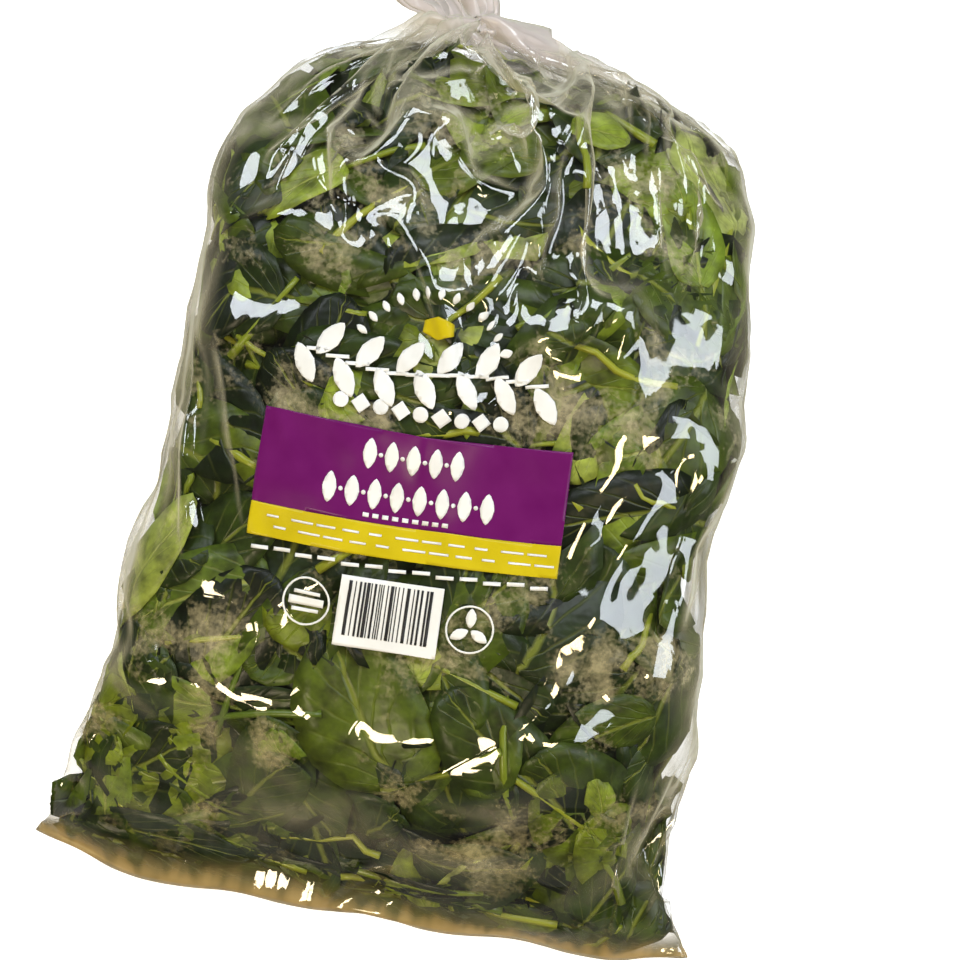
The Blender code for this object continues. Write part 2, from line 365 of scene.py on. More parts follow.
def settle_film(grid, steps, weight, air_push):
    """Lets the film move until the air, its weight and its folds are at rest."""
    rows, columns = grid.shape[1:]
    across, along = np.float32(GIRTH / columns), np.float32(FLAT_LENGTH / (rows - 1))
    gathered = np.arange(rows)[:, None] * along > film_to_neck(columns)
    held = grid[:, gathered].copy()
    mirror = (-np.arange(columns)) % columns
    line = seal_line(columns)
    crumple = sum(
        share * soft_noise(columns, rows, cell, seed, GIRTH, FLAT_LENGTH)
        for share, cell, seed in ((0.5, 0.040, 203), (0.6, 0.020, 201), (0.5, 0.010, 202))
    )
    slack = (1 + UNEVEN_FILM * np.clip(crumple + 0.3, -0.5, 2)).astype(np.float32)
    before = grid.copy()
    for step in range(steps):
        speed = (grid - before) * np.float32(MOTION_KEPT)
        before = grid.copy()
        if step % 5 == 0:
            short = np.clip((AIR_VOLUME - film_volume(grid)) / AIR_VOLUME * 20, -1, 1)
            push = film_normals(grid) * np.float32(air_push * short / (4 * across * along))
        grid += speed + push
        grid[2] -= np.float32(weight)
        grid[:, 0] = (grid[:, 0] + grid[:, 0][:, mirror]) / 2
        pull_film(grid, across, along, slack)
        grid[:, 0] = (grid[:, 0] + grid[:, 0][:, mirror]) / 2
        grid[:, 0] += (line - grid[:, 0]) * np.float32(SEAL_HOLD)
        grid[:, gathered] = held
        keep_off_heap(grid, before)
        under = grid[2] < FLOOR_GAP
        grid[2][under] = FLOOR_GAP
        before += (grid - before) * (under * np.float32(FLOOR_GRIP))
        grid[:, gathered] = held
    grid[:, 0] = (grid[:, 0] + grid[:, 0][:, mirror]) / 2
    return grid


def spline_shares(f):
    """How much each of the four nearest grid points counts, this far past the second."""
    return [
        (-f + 2 * f**2 - f**3) / 2,
        (2 - 5 * f**2 + 3 * f**3) / 2,
        (f + 4 * f**2 - 3 * f**3) / 2,
        (-(f**2) + f**3) / 2,
    ]


def film_points(grid, u, v):
    """Points of the film, by cubic interpolation at columns u and rows v of its grid."""
    rows, columns = grid.shape[1:]
    first_u = np.floor(u).astype(int)
    first_v = np.clip(np.floor(v).astype(int), 0, rows - 2)
    shares_u, shares_v = spline_shares(u - first_u), spline_shares(v - first_v)
    points = 0
    for i in range(4):
        row = np.clip(first_v + i - 1, 0, rows - 1)
        for j in range(4):
            points = points + shares_v[i] * shares_u[j] * grid[:, row, (first_u + j - 1) % columns]
    return points


def refined(grid):
    """The same film as a grid of half the cell size."""
    rows, columns = grid.shape[1:]
    u, v = np.meshgrid(np.arange(2 * columns) / 2, np.arange(2 * rows - 1) / 2)
    return film_points(grid, u, v).astype(np.float32)


film = film_on_solid()
normals = film_normals(film)
normals /= np.linalg.norm(normals, axis=0) + 1e-9
ruffle = soft_noise(FILM_ACROSS, FILM_ALONG, 0.03, 77, GIRTH, FLAT_LENGTH)
film += (0.002 * normals * ruffle).astype(np.float32)
for level, (steps, weight, air_push) in enumerate(ROUNDS):
    if level > 0:
        film = refined(film)
    film = settle_film(film, steps, weight, air_push)
film_rows, film_columns = film.shape[1:]

# Where the film isn't drawn tight it is creased into flat facets that meet in sharp ridges.
PRINT_X, PRINT_Y = -0.0118, SEAL_Y + 0.1530
CREASES = ((0.052, 0.0030), (0.030, 0.0020), (0.017, 0.0010))
TIGHT_AT_SEAL, TIGHT_AT_NECK = 0.015, 0.05
PRINT_REACH_X, PRINT_REACH_Y = 0.075, 0.062
CREASED_AT_PRINT = 0.25
film_turns = 2 * np.pi * np.arange(film_columns) / film_columns
film_walk = np.linspace(0, FLAT_LENGTH, film_rows)
creased = sum(
    height
    * (
        np.abs(soft_noise(film_columns, film_rows, cell, 300 + i, GIRTH, FLAT_LENGTH))
        - np.abs(soft_noise(film_columns, film_rows, cell, 320 + i, GIRTH, FLAT_LENGTH))
    )
    for i, (cell, height) in enumerate(CREASES)
)
from_neck = film_to_neck(film_columns)[None] - film_walk[:, None]
looseness = ease(film_walk[:, None] / TIGHT_AT_SEAL) * ease(from_neck / TIGHT_AT_NECK)
from_print = np.hypot((film[0] - PRINT_X) / PRINT_REACH_X, (film[1] - PRINT_Y) / PRINT_REACH_Y)
from_print = np.where(np.sin(film_turns)[None] > 0, from_print, 2)
looseness *= CREASED_AT_PRINT + (1 - CREASED_AT_PRINT) * ease((from_print - 0.8) / 0.5)
normals = film_normals(film)
normals /= np.linalg.norm(normals, axis=0) + 1e-9
film += (normals * creased * looseness).astype(np.float32)
film[2] = np.maximum(film[2], FLOOR_GAP)


def deselect_all():
    """Leaves edit mode and deselects every object."""
    if bpy.context.object and bpy.context.object.mode != "OBJECT":
        bpy.ops.object.mode_set(mode="OBJECT")
    bpy.ops.object.select_all(action="DESELECT")


def select_only(*pieces):
    """Selects these pieces and no others, and makes the first the active one."""
    deselect_all()
    for piece in pieces:
        piece.select_set(True)
    bpy.context.view_layer.objects.active = pieces[0]


deselect_all()
bpy.ops.mesh.primitive_grid_add(x_subdivisions=film_columns, y_subdivisions=film_rows - 1, size=1)
film_piece = bpy.context.object
film_piece.name = film_piece.data.name = "clear_film"
flat = np.zeros(len(film_piece.data.vertices) * 3)
film_piece.data.vertices.foreach_get("co", flat)
flat = flat.reshape(-1, 3) + 0.5
column = np.round(flat[:, 0] * film_columns).astype(int) % film_columns
row = np.round(flat[:, 1] * (film_rows - 1)).astype(int)
from_seal = film_piece.data.attributes.new("from_seal", "FLOAT", "POINT")
from_seal.data.foreach_set("value", film_walk[row].astype(np.float32))
closed_film = film.copy()
for end in (0, -1):
    closed_film[:, end] += film[:, end][:, (-np.arange(film_columns)) % film_columns]
    closed_film[:, end] /= 2
film_piece.data.vertices.foreach_set("co", closed_film[:, row, column].T.ravel())
bpy.ops.object.mode_set(mode="EDIT")
bpy.ops.mesh.select_all(action="SELECT")
bpy.ops.mesh.remove_doubles(threshold=0.00001)
bpy.ops.mesh.flip_normals()
bpy.ops.object.mode_set(mode="OBJECT")
bpy.ops.object.shade_smooth()


def set_inputs(tree, node, values):
    """Sets or links a node's inputs, each by its name, or by _ and its number."""
    for name, value in values.items():
        key = int(name[1:]) if name[1:].isdigit() else name.replace("_", " ")
        if isinstance(value, bpy.types.NodeSocket):
            tree.links.new(value, node.inputs[key])
        else:
            node.inputs[key].default_value = value


def add_node(tree, kind, operation=None, **values):
    """A shader node of this kind, with its inputs set or linked."""
    node = tree.nodes.new("ShaderNode" + kind)
    if operation:
        node.operation = operation
    set_inputs(tree, node, values)
    return node


def worked_out(tree, operation, *values):
    """The result of one sum on these values."""
    named = {f"_{i}": value for i, value in enumerate(values)}
    return add_node(tree, "Math", operation, **named).outputs[0]


def mapped(tree, value, low, high, to_low=0.0, to_high=1.0):
    """A value that runs from low to high, made to run from to_low to to_high, and no further."""
    limits = {"From_Min": low, "From_Max": high, "To_Min": to_low, "To_Max": to_high}
    return add_node(tree, "MapRange", Value=value, **limits).outputs[0]


def noise(tree, place, scale, detail, rough=0.5):
    """Smooth noise over the piece, from 0 to 1, with this many finer layers."""
    field = add_node(tree, "TexNoise", Vector=place, Scale=scale, Detail=detail, Roughness=rough)
    return field.outputs[0]


def finish_shader(tree, **values):
    """Sets or links inputs of a material's own shader."""
    set_inputs(tree, tree.nodes["Principled BSDF"], values)


def own_value(tree, name):
    """The value that a piece's own attribute has at each place."""
    node = add_node(tree, "Attribute")
    node.attribute_name = name
    return node.outputs["Fac"]


def blended(tree, share, a, b, kind="MIX"):
    """Two colours, mixed."""
    mix = add_node(tree, "Mix")
    mix.data_type, mix.blend_type = "RGBA", kind
    set_inputs(tree, mix, {"_0": share, "_6": a, "_7": b})
    return mix.outputs[2]


def ramp_of(tree, value, stops):
    """A value's colour on a ramp of stops, each a place and a colour."""
    ramp = add_node(tree, "ValToRGB", Fac=value)
    elements = ramp.color_ramp.elements
    for element, (_, colour) in zip(elements, (stops[0], stops[-1])):
        element.color = (*colour, 1)
    for place, colour in stops[1:-1]:
        elements.new(place).color = (*colour, 1)
    return ramp.outputs[0]


def ridges(tree, place, scale):
    """Sharp ridges between flat facets: how far a smooth noise is from its middle value."""
    return worked_out(
        tree, "ABSOLUTE", worked_out(tree, "SUBTRACT", noise(tree, place, scale, 0.0), 0.5)
    )


def weighed(tree, a, share_a, b, share_b):
    """Two values, each times its own share, added up."""
    return worked_out(tree, "MULTIPLY_ADD", b, share_b, worked_out(tree, "MULTIPLY", a, share_a))


film_material = bpy.data.materials.new("clear_film")
film_material.use_nodes = True
tree = film_material.node_tree
tree.nodes.clear()
place = add_node(tree, "TexCoord").outputs["Object"]
along_bag = add_node(tree, "SeparateXYZ", Vector=place).outputs[1]
along_film = own_value(tree, "from_seal")

# Creases, large and fine, of which some are pinched into thin lines.
large, fine = ridges(tree, place, 26.0), ridges(tree, place, 75.0)
creases = weighed(tree, large, 1.0, fine, 0.12)
pinched = mapped(tree, noise(tree, place, 19.0, 0.0), 0.50, 0.60)
crest = worked_out(tree, "MULTIPLY", mapped(tree, large, 0.012, 0.0), pinched)
creases = weighed(tree, creases, 1.0, crest, 0.030)
bump = add_node(tree, "Bump", Height=creases, Distance=0.010, Strength=0.6).outputs[0]

# Mist of fine drops inside the film, in patches.
patches, specks = noise(tree, place, 34.0, 2.0, 0.6), noise(tree, place, 460.0, 2.0, 0.6)
mist = mapped(tree, weighed(tree, patches, 1.0, specks, 0.34), 0.72, 0.93, 0.0, 0.60)

# Seen aslant the film is milky, in streaks that run along the bag, and less so at the seal.
drawn_out = add_node(tree, "VectorMath", "MULTIPLY", _0=place, _1=(1, 0.14, 1)).outputs[0]
streaks = mapped(tree, noise(tree, drawn_out, 150.0, 1.0), 0.35, 0.65, 0.45, 1.15)
edge = mapped(tree, add_node(tree, "LayerWeight", Blend=0.5).outputs["Facing"], 0.24, 0.80)
edge = worked_out(tree, "MULTIPLY", worked_out(tree, "POWER", edge, 1.3), streaks)
off_seal = mapped(tree, along_film, 0.03, 0.10, 0.35, 1.0)
edge = worked_out(tree, "MULTIPLY_ADD", edge, off_seal, 0.003)

# The welded seal is crumpled, and its golden colour is a painted warm reflection; the gathered
# neck is many layers thick, and milky.
seal_band = mapped(tree, along_film, 0.014, 0.003, 0.0, 0.88)
neck_band = mapped(tree, along_bag, NECK_Y - 0.012, NECK_Y + 0.006, 0.0, 0.93)
haze = edge
for layer in (mist, seal_band, neck_band):
    haze = worked_out(tree, "MAXIMUM", haze, layer)
haze = worked_out(tree, "MINIMUM", haze, 0.95)
veil_place = mapped(tree, along_film, 0.0, BODY_FILM)
# The veil's colour along the film: golden at the seal, which is a painted warm reflection, then
# darker just past it, beige on the body and pinkish grey at the neck.
veil_and_reflection_colour = ramp_of(
    tree,
    weighed(tree, streaks, 0.022, veil_place, 1.0),
    (
        (0.0, (0.55, 0.38, 0.15)),
        (0.024, (0.42, 0.29, 0.10)),
        (0.040, (0.12, 0.10, 0.025)),
        (0.12, (0.60, 0.50, 0.25)),
        (0.90, (0.66, 0.58, 0.38)),
        (1.0, (0.58, 0.51, 0.48)),
    ),
)
veil_and_reflection_colour = blended(tree, edge, veil_and_reflection_colour, (0.56, 0.54, 0.40, 1))
veil = add_node(tree, "BsdfPrincipled", Base_Color=veil_and_reflection_colour, Roughness=0.6).outputs[0]
clear = add_node(tree, "BsdfTransparent").outputs[0]
hazy = add_node(tree, "MixShader", _0=haze, _1=clear, _2=veil).outputs[0]

# Its gloss is dulled at the neck, and is never that of a mirror.
shine = add_node(
    tree, "BsdfPrincipled", Base_Color=(1, 1, 1, 1), Metallic=1.0, Roughness=0.05, Normal=bump
).outputs[0]
dulled = mapped(tree, along_bag, NECK_Y - 0.008, NECK_Y + 0.006, 1.0, 0.25)
fresnel = add_node(tree, "Fresnel", IOR=1.8).outputs[0]
fresnel = worked_out(tree, "MINIMUM", worked_out(tree, "MULTIPLY", fresnel, dulled), 0.20)
glossy = add_node(tree, "MixShader", _0=fresnel, _1=hazy, _2=shine).outputs[0]
add_node(tree, "OutputMaterial", Surface=glossy)
film_piece.data.materials.append(film_material)
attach(film_piece, "root")
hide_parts("filled_bag")
# So thin and clear a film casts next to no shadow on the leaves.
film_piece.visible_shadow = False

# ------------------------------------------------------------------------------------------
# The print on the film: a purple field over a yellow band, with white ornaments above and on
# them, and a bar code between two round marks below. Each ink is drawn flat, as on the empty
# bag, cut along the film's own grid so that it folds with the film, and laid on its outside.
INK_LIFT = 0.00022
INK_THICKNESS = 0.00006
PRINT_TILT = math.radians(2.3)
top_side = np.sin(film_turns) > 0.3
nearest = np.hypot(film[0] - PRINT_X, film[1] - PRINT_Y) + np.where(top_side, 0, 1)[None]
print_row, print_column = np.unravel_index(np.argmin(nearest), nearest.shape)
across_cell, along_cell = GIRTH / film_columns, FLAT_LENGTH / (film_rows - 1)


def flat_shape(kind, x, y, width, height, turn=0.0, **kind_values):
    """A flat outline, filled, at a place on the print, in metres from the print's middle."""
    kind(location=(x, y, 0), rotation=(0, 0, turn), **kind_values)
    bpy.context.object.scale = (width, height, 1)
    return bpy.context.object


def bar(x, y, width, height, turn=0.0):
    """A bar with its middle at x and y."""
    return flat_shape(bpy.ops.mesh.primitive_plane_add, x, y, width, height, turn, size=1)


def dot(x, y, width, height, turn=0.0, corners=24):
    """A dot, round or with few corners, with its middle at x and y."""
    circle = bpy.ops.mesh.primitive_circle_add
    return flat_shape(
        circle, x, y, width, height, turn, radius=0.5, vertices=corners, fill_type="NGON"
    )


def leaf_mark(x, y, length, turn, stout=0.5):
    """A pointed leaf, from a round of twelve corners, narrowed towards both ends."""
    mark = dot(x, y, length, length * stout, turn, corners=12)
    for vertex in mark.data.vertices:
        vertex.co.y *= 1 - 0.45 * (2 * vertex.co.x) ** 2
        vertex.co.x *= 1.12
    return mark


def ring(x, y, outer, inner):
    """A flat ring, from an open circle whose edges are extruded and drawn in."""
    deselect_all()
    bpy.ops.mesh.primitive_circle_add(
        vertices=40, radius=outer / 2, fill_type="NOTHING", location=(x, y, 0)
    )
    bpy.ops.object.mode_set(mode="EDIT")
    bpy.ops.mesh.extrude_edges_move()
    bpy.ops.transform.resize(value=(inner / outer, inner / outer, 1), center_override=(x, y, 0))
    bpy.ops.object.mode_set(mode="OBJECT")
    return bpy.context.object


def lay_ink(name, shapes, material, lift=INK_LIFT):
    """Joins flat shapes, cuts them along the film's grid, and lays them on the film."""
    select_only(*shapes)
    bpy.ops.object.join()
    ink = bpy.context.object
    ink.name = ink.data.name = name
    bpy.ops.object.transform_apply(location=True, rotation=True, scale=True)
    cosine, sine = math.cos(PRINT_TILT), math.sin(PRINT_TILT)
    for vertex in ink.data.vertices:
        x, y = vertex.co.x, vertex.co.y
        vertex.co.x = (x * cosine - y * sine) / across_cell
        vertex.co.y = (x * sine + y * cosine) / along_cell
    spots = np.array([vertex.co[:2] for vertex in ink.data.vertices])
    bpy.ops.object.mode_set(mode="EDIT")
    for axis in (0, 1):
        for cut in range(math.ceil(spots[:, axis].min()), math.ceil(spots[:, axis].max())):
            bpy.ops.mesh.select_all(action="SELECT")
            point, normal = [0, 0, 0], [0, 0, 0]
            point[axis], normal[axis] = cut, 1
            bpy.ops.mesh.bisect(plane_co=point, plane_no=normal)
    bpy.ops.mesh.select_all(action="SELECT")
    bpy.ops.mesh.remove_doubles(threshold=0.001)
    bpy.ops.object.mode_set(mode="OBJECT")
    spots = np.array([vertex.co[:2] for vertex in ink.data.vertices])
    u, v = print_column - spots[:, 0], print_row + spots[:, 1]
    left, low = np.floor(u).astype(int), np.floor(v + 1e-4).astype(int)
    share_u, share_v = u - left, v - low
    laid = 0
    for i, part_v in ((0, 1 - share_v), (1, share_v)):
        for j, part_u in ((0, 1 - share_u), (1, share_u)):
            corner = (low + i, (left + j) % film_columns)
            laid = laid + part_v * part_u * (film + out_of_film * lift)[:, corner[0], corner[1]]
    ink.data.vertices.foreach_set("co", laid.T.ravel())
    ink.data.materials.append(material)
    bpy.ops.object.shade_smooth()
    wall = ink.modifiers.new("ink", "SOLIDIFY")
    wall.thickness, wall.offset = INK_THICKNESS, 1
    bpy.ops.object.modifier_apply(modifier=wall.name)
    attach(ink, "root")
    return ink


def ink_material(name, colour, rough=0.3):
    """Printed ink, with faint uneven coverage, and a satin gloss of its own."""
    material = bpy.data.materials.new(name)
    material.use_nodes = True
    tree = material.node_tree
    place = add_node(tree, "TexCoord").outputs["Object"]
    thick = tuple(part * 0.88 for part in colour)
    thin = tuple(min(1, part * 1.25 + 0.01) for part in colour)
    shade = blended(tree, noise(tree, place, 90.0, 3.0), (*thick, 1), (*thin, 1))
    finish_shader(tree, Base_Color=shade, Roughness=rough, Specular_IOR_Level=0.2)
    return material


out_of_film = film_normals(film)
out_of_film /= np.linalg.norm(out_of_film, axis=0) + 1e-9
purple_ink = ink_material("purple_print", (0.125, 0.002, 0.104))
yellow_ink = ink_material("yellow_print", (0.56, 0.44, 0.004))
white_ink = ink_material("white_print", (0.80, 0.80, 0.78))
black_ink = ink_material("black_print", (0.018, 0.018, 0.02))

FIELD_WIDTH = 0.111
lay_ink("purple_field", [bar(0, 0.0050, FIELD_WIDTH, 0.0330)], purple_ink)
yellow_shapes = [
    bar(0, -0.0172, FIELD_WIDTH, 0.0115),
    dot(0.001, 0.0600, 0.014, 0.0085, corners=6),
]
lay_ink("yellow_band", yellow_shapes, yellow_ink)

# An arch of small leaves over a wavy twig of large ones.
ARCH_X, ARCH_Y, ARCH_WIDE, ARCH_TALL = 0.001, 0.0385, 0.031, 0.034
TWIG_LENGTH, TWIG_Y = 0.088, 0.0435
white_shapes = []
for k in range(13):
    turn = math.radians(62 - 124 * k / 12)
    x, y = ARCH_X + ARCH_WIDE * math.sin(-turn), ARCH_Y + ARCH_TALL * math.cos(turn)
    white_shapes.append(leaf_mark(x, y, 0.0042, turn + math.pi / 2, 0.62))
for k in range(13):
    x = -TWIG_LENGTH / 2 + TWIG_LENGTH * k / 12
    y = TWIG_Y + 0.0020 * math.sin(x / 0.012)
    side = 1 if k % 2 else -1
    white_shapes.append(leaf_mark(x, y + side * 0.0056, 0.0132, side * math.radians(58), 0.55))
    if k < 12:
        white_shapes.append(bar(x + 0.0037, y, 0.0084, 0.0013, math.radians(8)))
# A row of dots and diamonds, and two rows of upright leaves on the purple field.
for k in range(9):
    x = -0.029 + 0.058 * k / 8
    size = 0.0072 if k % 2 else 0.0056
    white_shapes.append(dot(x, 0.0290, size, size, corners=4 if k % 2 else 16))
for row_y, row_width, count in ((0.0125, 0.039, 5), (-0.0015, 0.064, 8)):
    for k in range(count):
        x = row_width * ((k + 0.5) / count - 0.5)
        white_shapes.append(leaf_mark(x, row_y, 0.0098, math.pi / 2, 0.52))
        if k < count - 1:
            white_shapes.append(dot(x + row_width / count / 2, row_y, 0.0017, 0.0017, corners=8))
# Rows of dashes at the field's foot, on the yellow band and under it.
for k in range(9):
    white_shapes.append(bar(-0.014 + 0.0035 * k, -0.0090, 0.0022, 0.0015))
for row_y, row_from in ((-0.0154, -0.049), (-0.0190, -0.046)):
    for k in range(11):
        width = 0.0045 + 0.0035 * ((k * 7) % 4) / 3
        white_shapes.append(bar(row_from + 0.0093 * k + width / 2, row_y, width, 0.0008))
for k in range(13):
    white_shapes.append(bar(-0.050 + 0.0083 * k, -0.0268 + 0.0006 * (k % 2), 0.0062, 0.0013, 0.06))
# The bar code's white box, and a round mark on each side of it: one with bars, one with leaves.
CODE_X, CODE_Y = -0.001, -0.0430
BAR_UNIT, BAR_HEIGHT = 0.00038, 0.0195
BARS_FROM, BARS_TO = CODE_X - 0.0152, CODE_X + 0.0145
BAR_MARK_X, BAR_MARK_Y = -0.0300, -0.0420
LEAF_MARK_X, LEAF_MARK_Y = 0.0275, -0.0435
SECOND_LIFT = INK_LIFT * 1.8
code_box = bar(CODE_X, CODE_Y, 0.0360, 0.0250)
lay_ink("code_box", [code_box], white_ink)
for x, y in ((BAR_MARK_X, BAR_MARK_Y), (LEAF_MARK_X, LEAF_MARK_Y)):
    white_shapes.append(ring(x, y, 0.0170, 0.0156))
for k, (width, height) in enumerate(((0.0095, 0.0013), (0.0125, 0.0028), (0.0095, 0.0013))):
    white_shapes.append(bar(BAR_MARK_X, BAR_MARK_Y + 0.003 - 0.003 * k, width, height))
for k in range(3):
    turn = math.radians(90 + 120 * k)
    x, y = LEAF_MARK_X + 0.0040 * math.cos(turn), LEAF_MARK_Y + 0.0040 * math.sin(turn)
    white_shapes.append(leaf_mark(x, y, 0.0062, turn, 0.62))
lay_ink("white_marks", white_shapes, white_ink, SECOND_LIFT)

# Bars and gaps of one to three units, drawn at random, so that the code says nothing.
code_draw = np.random.default_rng(5)
code_bars = []
x = BARS_FROM
while x < BARS_TO:
    width = BAR_UNIT * code_draw.integers(1, 4)
    code_bars.append(bar(x + width / 2, CODE_Y + 0.0012, width, BAR_HEIGHT))
    x += width + BAR_UNIT * code_draw.integers(1, 4)
lay_ink("code_bars", code_bars, black_ink, SECOND_LIFT)

# ------------------------------------------------------------------------------------------
# The leaves. A baby spinach leaf is a rounded oval blade on a long stalk. One flat blade is
# modelled, and each leaf in the bag is a copy of it, laid in the heap at its own size and
# turn, bent and folded in its own way, and kept just inside the film.
film_tree = BVHTree.FromPolygons(
    [tuple(v.co) for v in film_piece.data.vertices],
    [tuple(p.vertices) for p in film_piece.data.polygons],
)
SKIN_COLUMNS, SKIN_ROWS = 160, 150
SKIN_END, LEAST_SKIN, SKIN_FLOOR = 0.0015, 0.0005, 0.0016


def heap_skin(inset):
    """The heap's skin as a grid of points (along, across, 3), moved inwards by inset."""
    turn = 2 * np.pi * np.arange(SKIN_COLUMNS) / SKIN_COLUMNS
    ends = np.sin(np.linspace(-np.pi / 2, np.pi / 2, SKIN_ROWS)) / 2 + 0.5
    skin = []
    length = HEAP_TO - HEAP_FROM - 2 * SKIN_END - inset
    for y in HEAP_FROM + SKIN_END + inset / 2 + length * ends:
        middle_x, middle_z, wide, tall = (np.interp(y, TABLE_Y, c) for c in heap_columns)
        wide, tall = max(wide - inset, LEAST_SKIN), max(tall - inset, LEAST_SKIN)
        cosine, sine = np.cos(turn), np.sin(turn)
        x = wide * np.sign(cosine) * np.abs(cosine) ** (2 / HEAP_POWER)
        z = tall * np.sign(sine) * np.abs(sine) ** (2 / HEAP_POWER)
        column = (np.arctan2(z, x) / (2 * np.pi) * LUMP_COLUMNS).astype(int) % LUMP_COLUMNS
        row = int((y - SEAL_Y) / BODY_LENGTH * (LUMP_ROWS - 1))
        grow = 1 + heap_lumps[row, column] * min(1, tall / 0.02) / np.maximum(np.hypot(x, z), 0.01)
        floor_z = np.maximum(middle_z + z * grow, SKIN_FLOOR + inset / 2)
        skin.append(np.stack([middle_x + x * grow, np.full_like(x, y), floor_z], axis=1))
    return np.array(skin)


def tube_faces(rows, columns):
    """Four-sided faces of a grid of points that closes on itself across, facing outwards."""
    left = np.arange(rows * columns).reshape(rows, columns)
    right = np.roll(left, -1, axis=1)
    return np.stack([left[1:], right[1:], right[:-1], left[:-1]], axis=-1).reshape(-1, 4)


skin = heap_skin(0.0)
skin_faces = tube_faces(SKIN_ROWS, SKIN_COLUMNS)
skin_tree = BVHTree.FromPolygons(skin.reshape(-1, 3).tolist(), skin_faces.tolist())


def new_mesh_piece(name, points, faces, material):
    """A smooth piece from points worked out in place, such as bent leaves."""
    mesh = bpy.data.meshes.new(name)
    mesh.from_pydata(points.tolist(), [], faces.tolist())
    mesh.materials.append(material)
    mesh.shade_smooth()
    piece = bpy.data.objects.new(name, mesh)
    bpy.context.scene.collection.objects.link(piece)
    return piece


def set_tones(piece, tones):
    """Gives each of the piece's points its tone."""
    attribute = piece.data.attributes.new("tone", "FLOAT", "POINT")
    attribute.data.foreach_set("value", np.array(tones, np.float32))


def leaf_veins():
    """Group: a leaf's midrib and side veins, from its UV map, as a mask."""
    group = bpy.data.node_groups.new("leaf_veins", "ShaderNodeTree")
    group.interface.new_socket("UV", in_out="INPUT", socket_type="NodeSocketVector")
    group.interface.new_socket("Midrib", in_out="OUTPUT", socket_type="NodeSocketFloat")
    group.interface.new_socket("Veins", in_out="OUTPUT", socket_type="NodeSocketFloat")
    start, end = group.nodes.new("NodeGroupInput"), group.nodes.new("NodeGroupOutput")
    across, up, _ = add_node(group, "SeparateXYZ", Vector=start.outputs["UV"]).outputs
    out = worked_out(group, "ABSOLUTE", worked_out(group, "MULTIPLY_ADD", across, 2.0, -1.0))
    rib_width = worked_out(group, "MULTIPLY_ADD", up, -0.075, 0.105)
    rib = mapped(group, worked_out(group, "DIVIDE", out, rib_width), 0.35, 1.0, 1.0, 0.0)
    # Side veins are evenly spaced lines that sweep up towards the edge, and fade there.
    bent = worked_out(group, "POWER", out, 0.75)
    swept = worked_out(group, "MULTIPLY_ADD", bent, -0.42, up)
    wave = worked_out(group, "PINGPONG", worked_out(group, "MULTIPLY", swept, 6.5), 0.5)
    line = mapped(group, wave, 0.0, 0.10, 1.0, 0.0)
    vein = worked_out(group, "MULTIPLY", line, mapped(group, out, 0.2, 0.95, 0.9, 0.1))
    set_inputs(group, end, {"Midrib": rib, "Veins": vein})
    return group


veins_group = leaf_veins()


def tone_ramp(tree, colours):
    """The piece's own tone, from 0 to 1, as a colour between these, evenly spaced."""
    stops = [(i / (len(colours) - 1), colour) for i, colour in enumerate(colours)]
    return ramp_of(tree, own_value(tree, "tone"), stops)


def leaf_material(name, colours, vein_colour, rough):
    """Leaf flesh: its tone, which on the deepest leaves is painted shade, cloudy, with paler ribs,
    satin, and slightly quilted.
    """
    material = bpy.data.materials.new(name)
    material.use_nodes = True
    tree = material.node_tree
    place = add_node(tree, "TexCoord").outputs["Object"]
    uv = add_node(tree, "UVMap")
    uv.uv_map = "UVMap"
    group = tree.nodes.new("ShaderNodeGroup")
    group.node_tree = veins_group
    tree.links.new(uv.outputs[0], group.inputs["UV"])
    midrib, veins = group.outputs
    cloud = mapped(tree, noise(tree, place, 120.0, 3.0, 0.6), 0.3, 0.7, 0.40, 1.60)
    flesh = blended(tree, 1.0, tone_ramp(tree, colours), cloud, "MULTIPLY")
    for mask, share in ((veins, 0.30), (midrib, 0.75)):
        shown = worked_out(tree, "MULTIPLY", mask, share)
        flesh = blended(tree, shown, flesh, (*vein_colour, 1))
    height = weighed(tree, noise(tree, place, 260.0, 1.0), 0.6, veins, -0.5)
    height = weighed(tree, height, 1.0, midrib, -0.8)
    bump = add_node(tree, "Bump", Height=height, Distance=0.0006, Strength=0.8).outputs[0]
    finish_shader(tree, Base_Color=flesh, Normal=bump, Roughness=rough, Specular_IOR_Level=0.35)
    return material


# Its darkest colours, which the deepest layer of leaves gets, are painted shade.
dark_leaf = leaf_material(
    "spinach_leaf",
    ((0.004, 0.009, 0.0015), (0.015, 0.029, 0.0025), (0.048, 0.074, 0.004), (0.140, 0.180, 0.008)),
    (0.20, 0.23, 0.03),
    0.38,
)
young_leaf = leaf_material(
    "young_leaf",
    ((0.070, 0.110, 0.008), (0.130, 0.190, 0.012), (0.220, 0.280, 0.024), (0.300, 0.340, 0.080)),
    (0.34, 0.38, 0.08),
    0.42,
)

BLADE_ACROSS, BLADE_ALONG = 5, 8
deselect_all()
bpy.ops.mesh.primitive_grid_add(x_subdivisions=BLADE_ACROSS, y_subdivisions=BLADE_ALONG, size=2)
template = bpy.context.object
blade_points = np.array([vertex.co[:2] for vertex in template.data.vertices])
blade_faces = np.array([polygon.vertices[:] for polygon in template.data.polygons])
blade_s, blade_t = blade_points[:, 0], blade_points[:, 1] / 2 + 0.5
bpy.data.objects.remove(template)
BLADE_SIZE = len(blade_points)
# The blade is widest a third of the way up, blunt at its stalk and rounded at its tip.
blade_reach = np.sin(np.pi * np.clip(0.03 + 0.95 * blade_t, 0, 1) ** 0.82) ** 0.60
blade_curve = 0.5 - 0.5 * np.cos(np.pi * blade_t)
blade_along = 0.35 * blade_t + 0.65 * blade_curve - 0.5


HIGH_ABOVE, FAR_BELOW = 0.3, -0.1


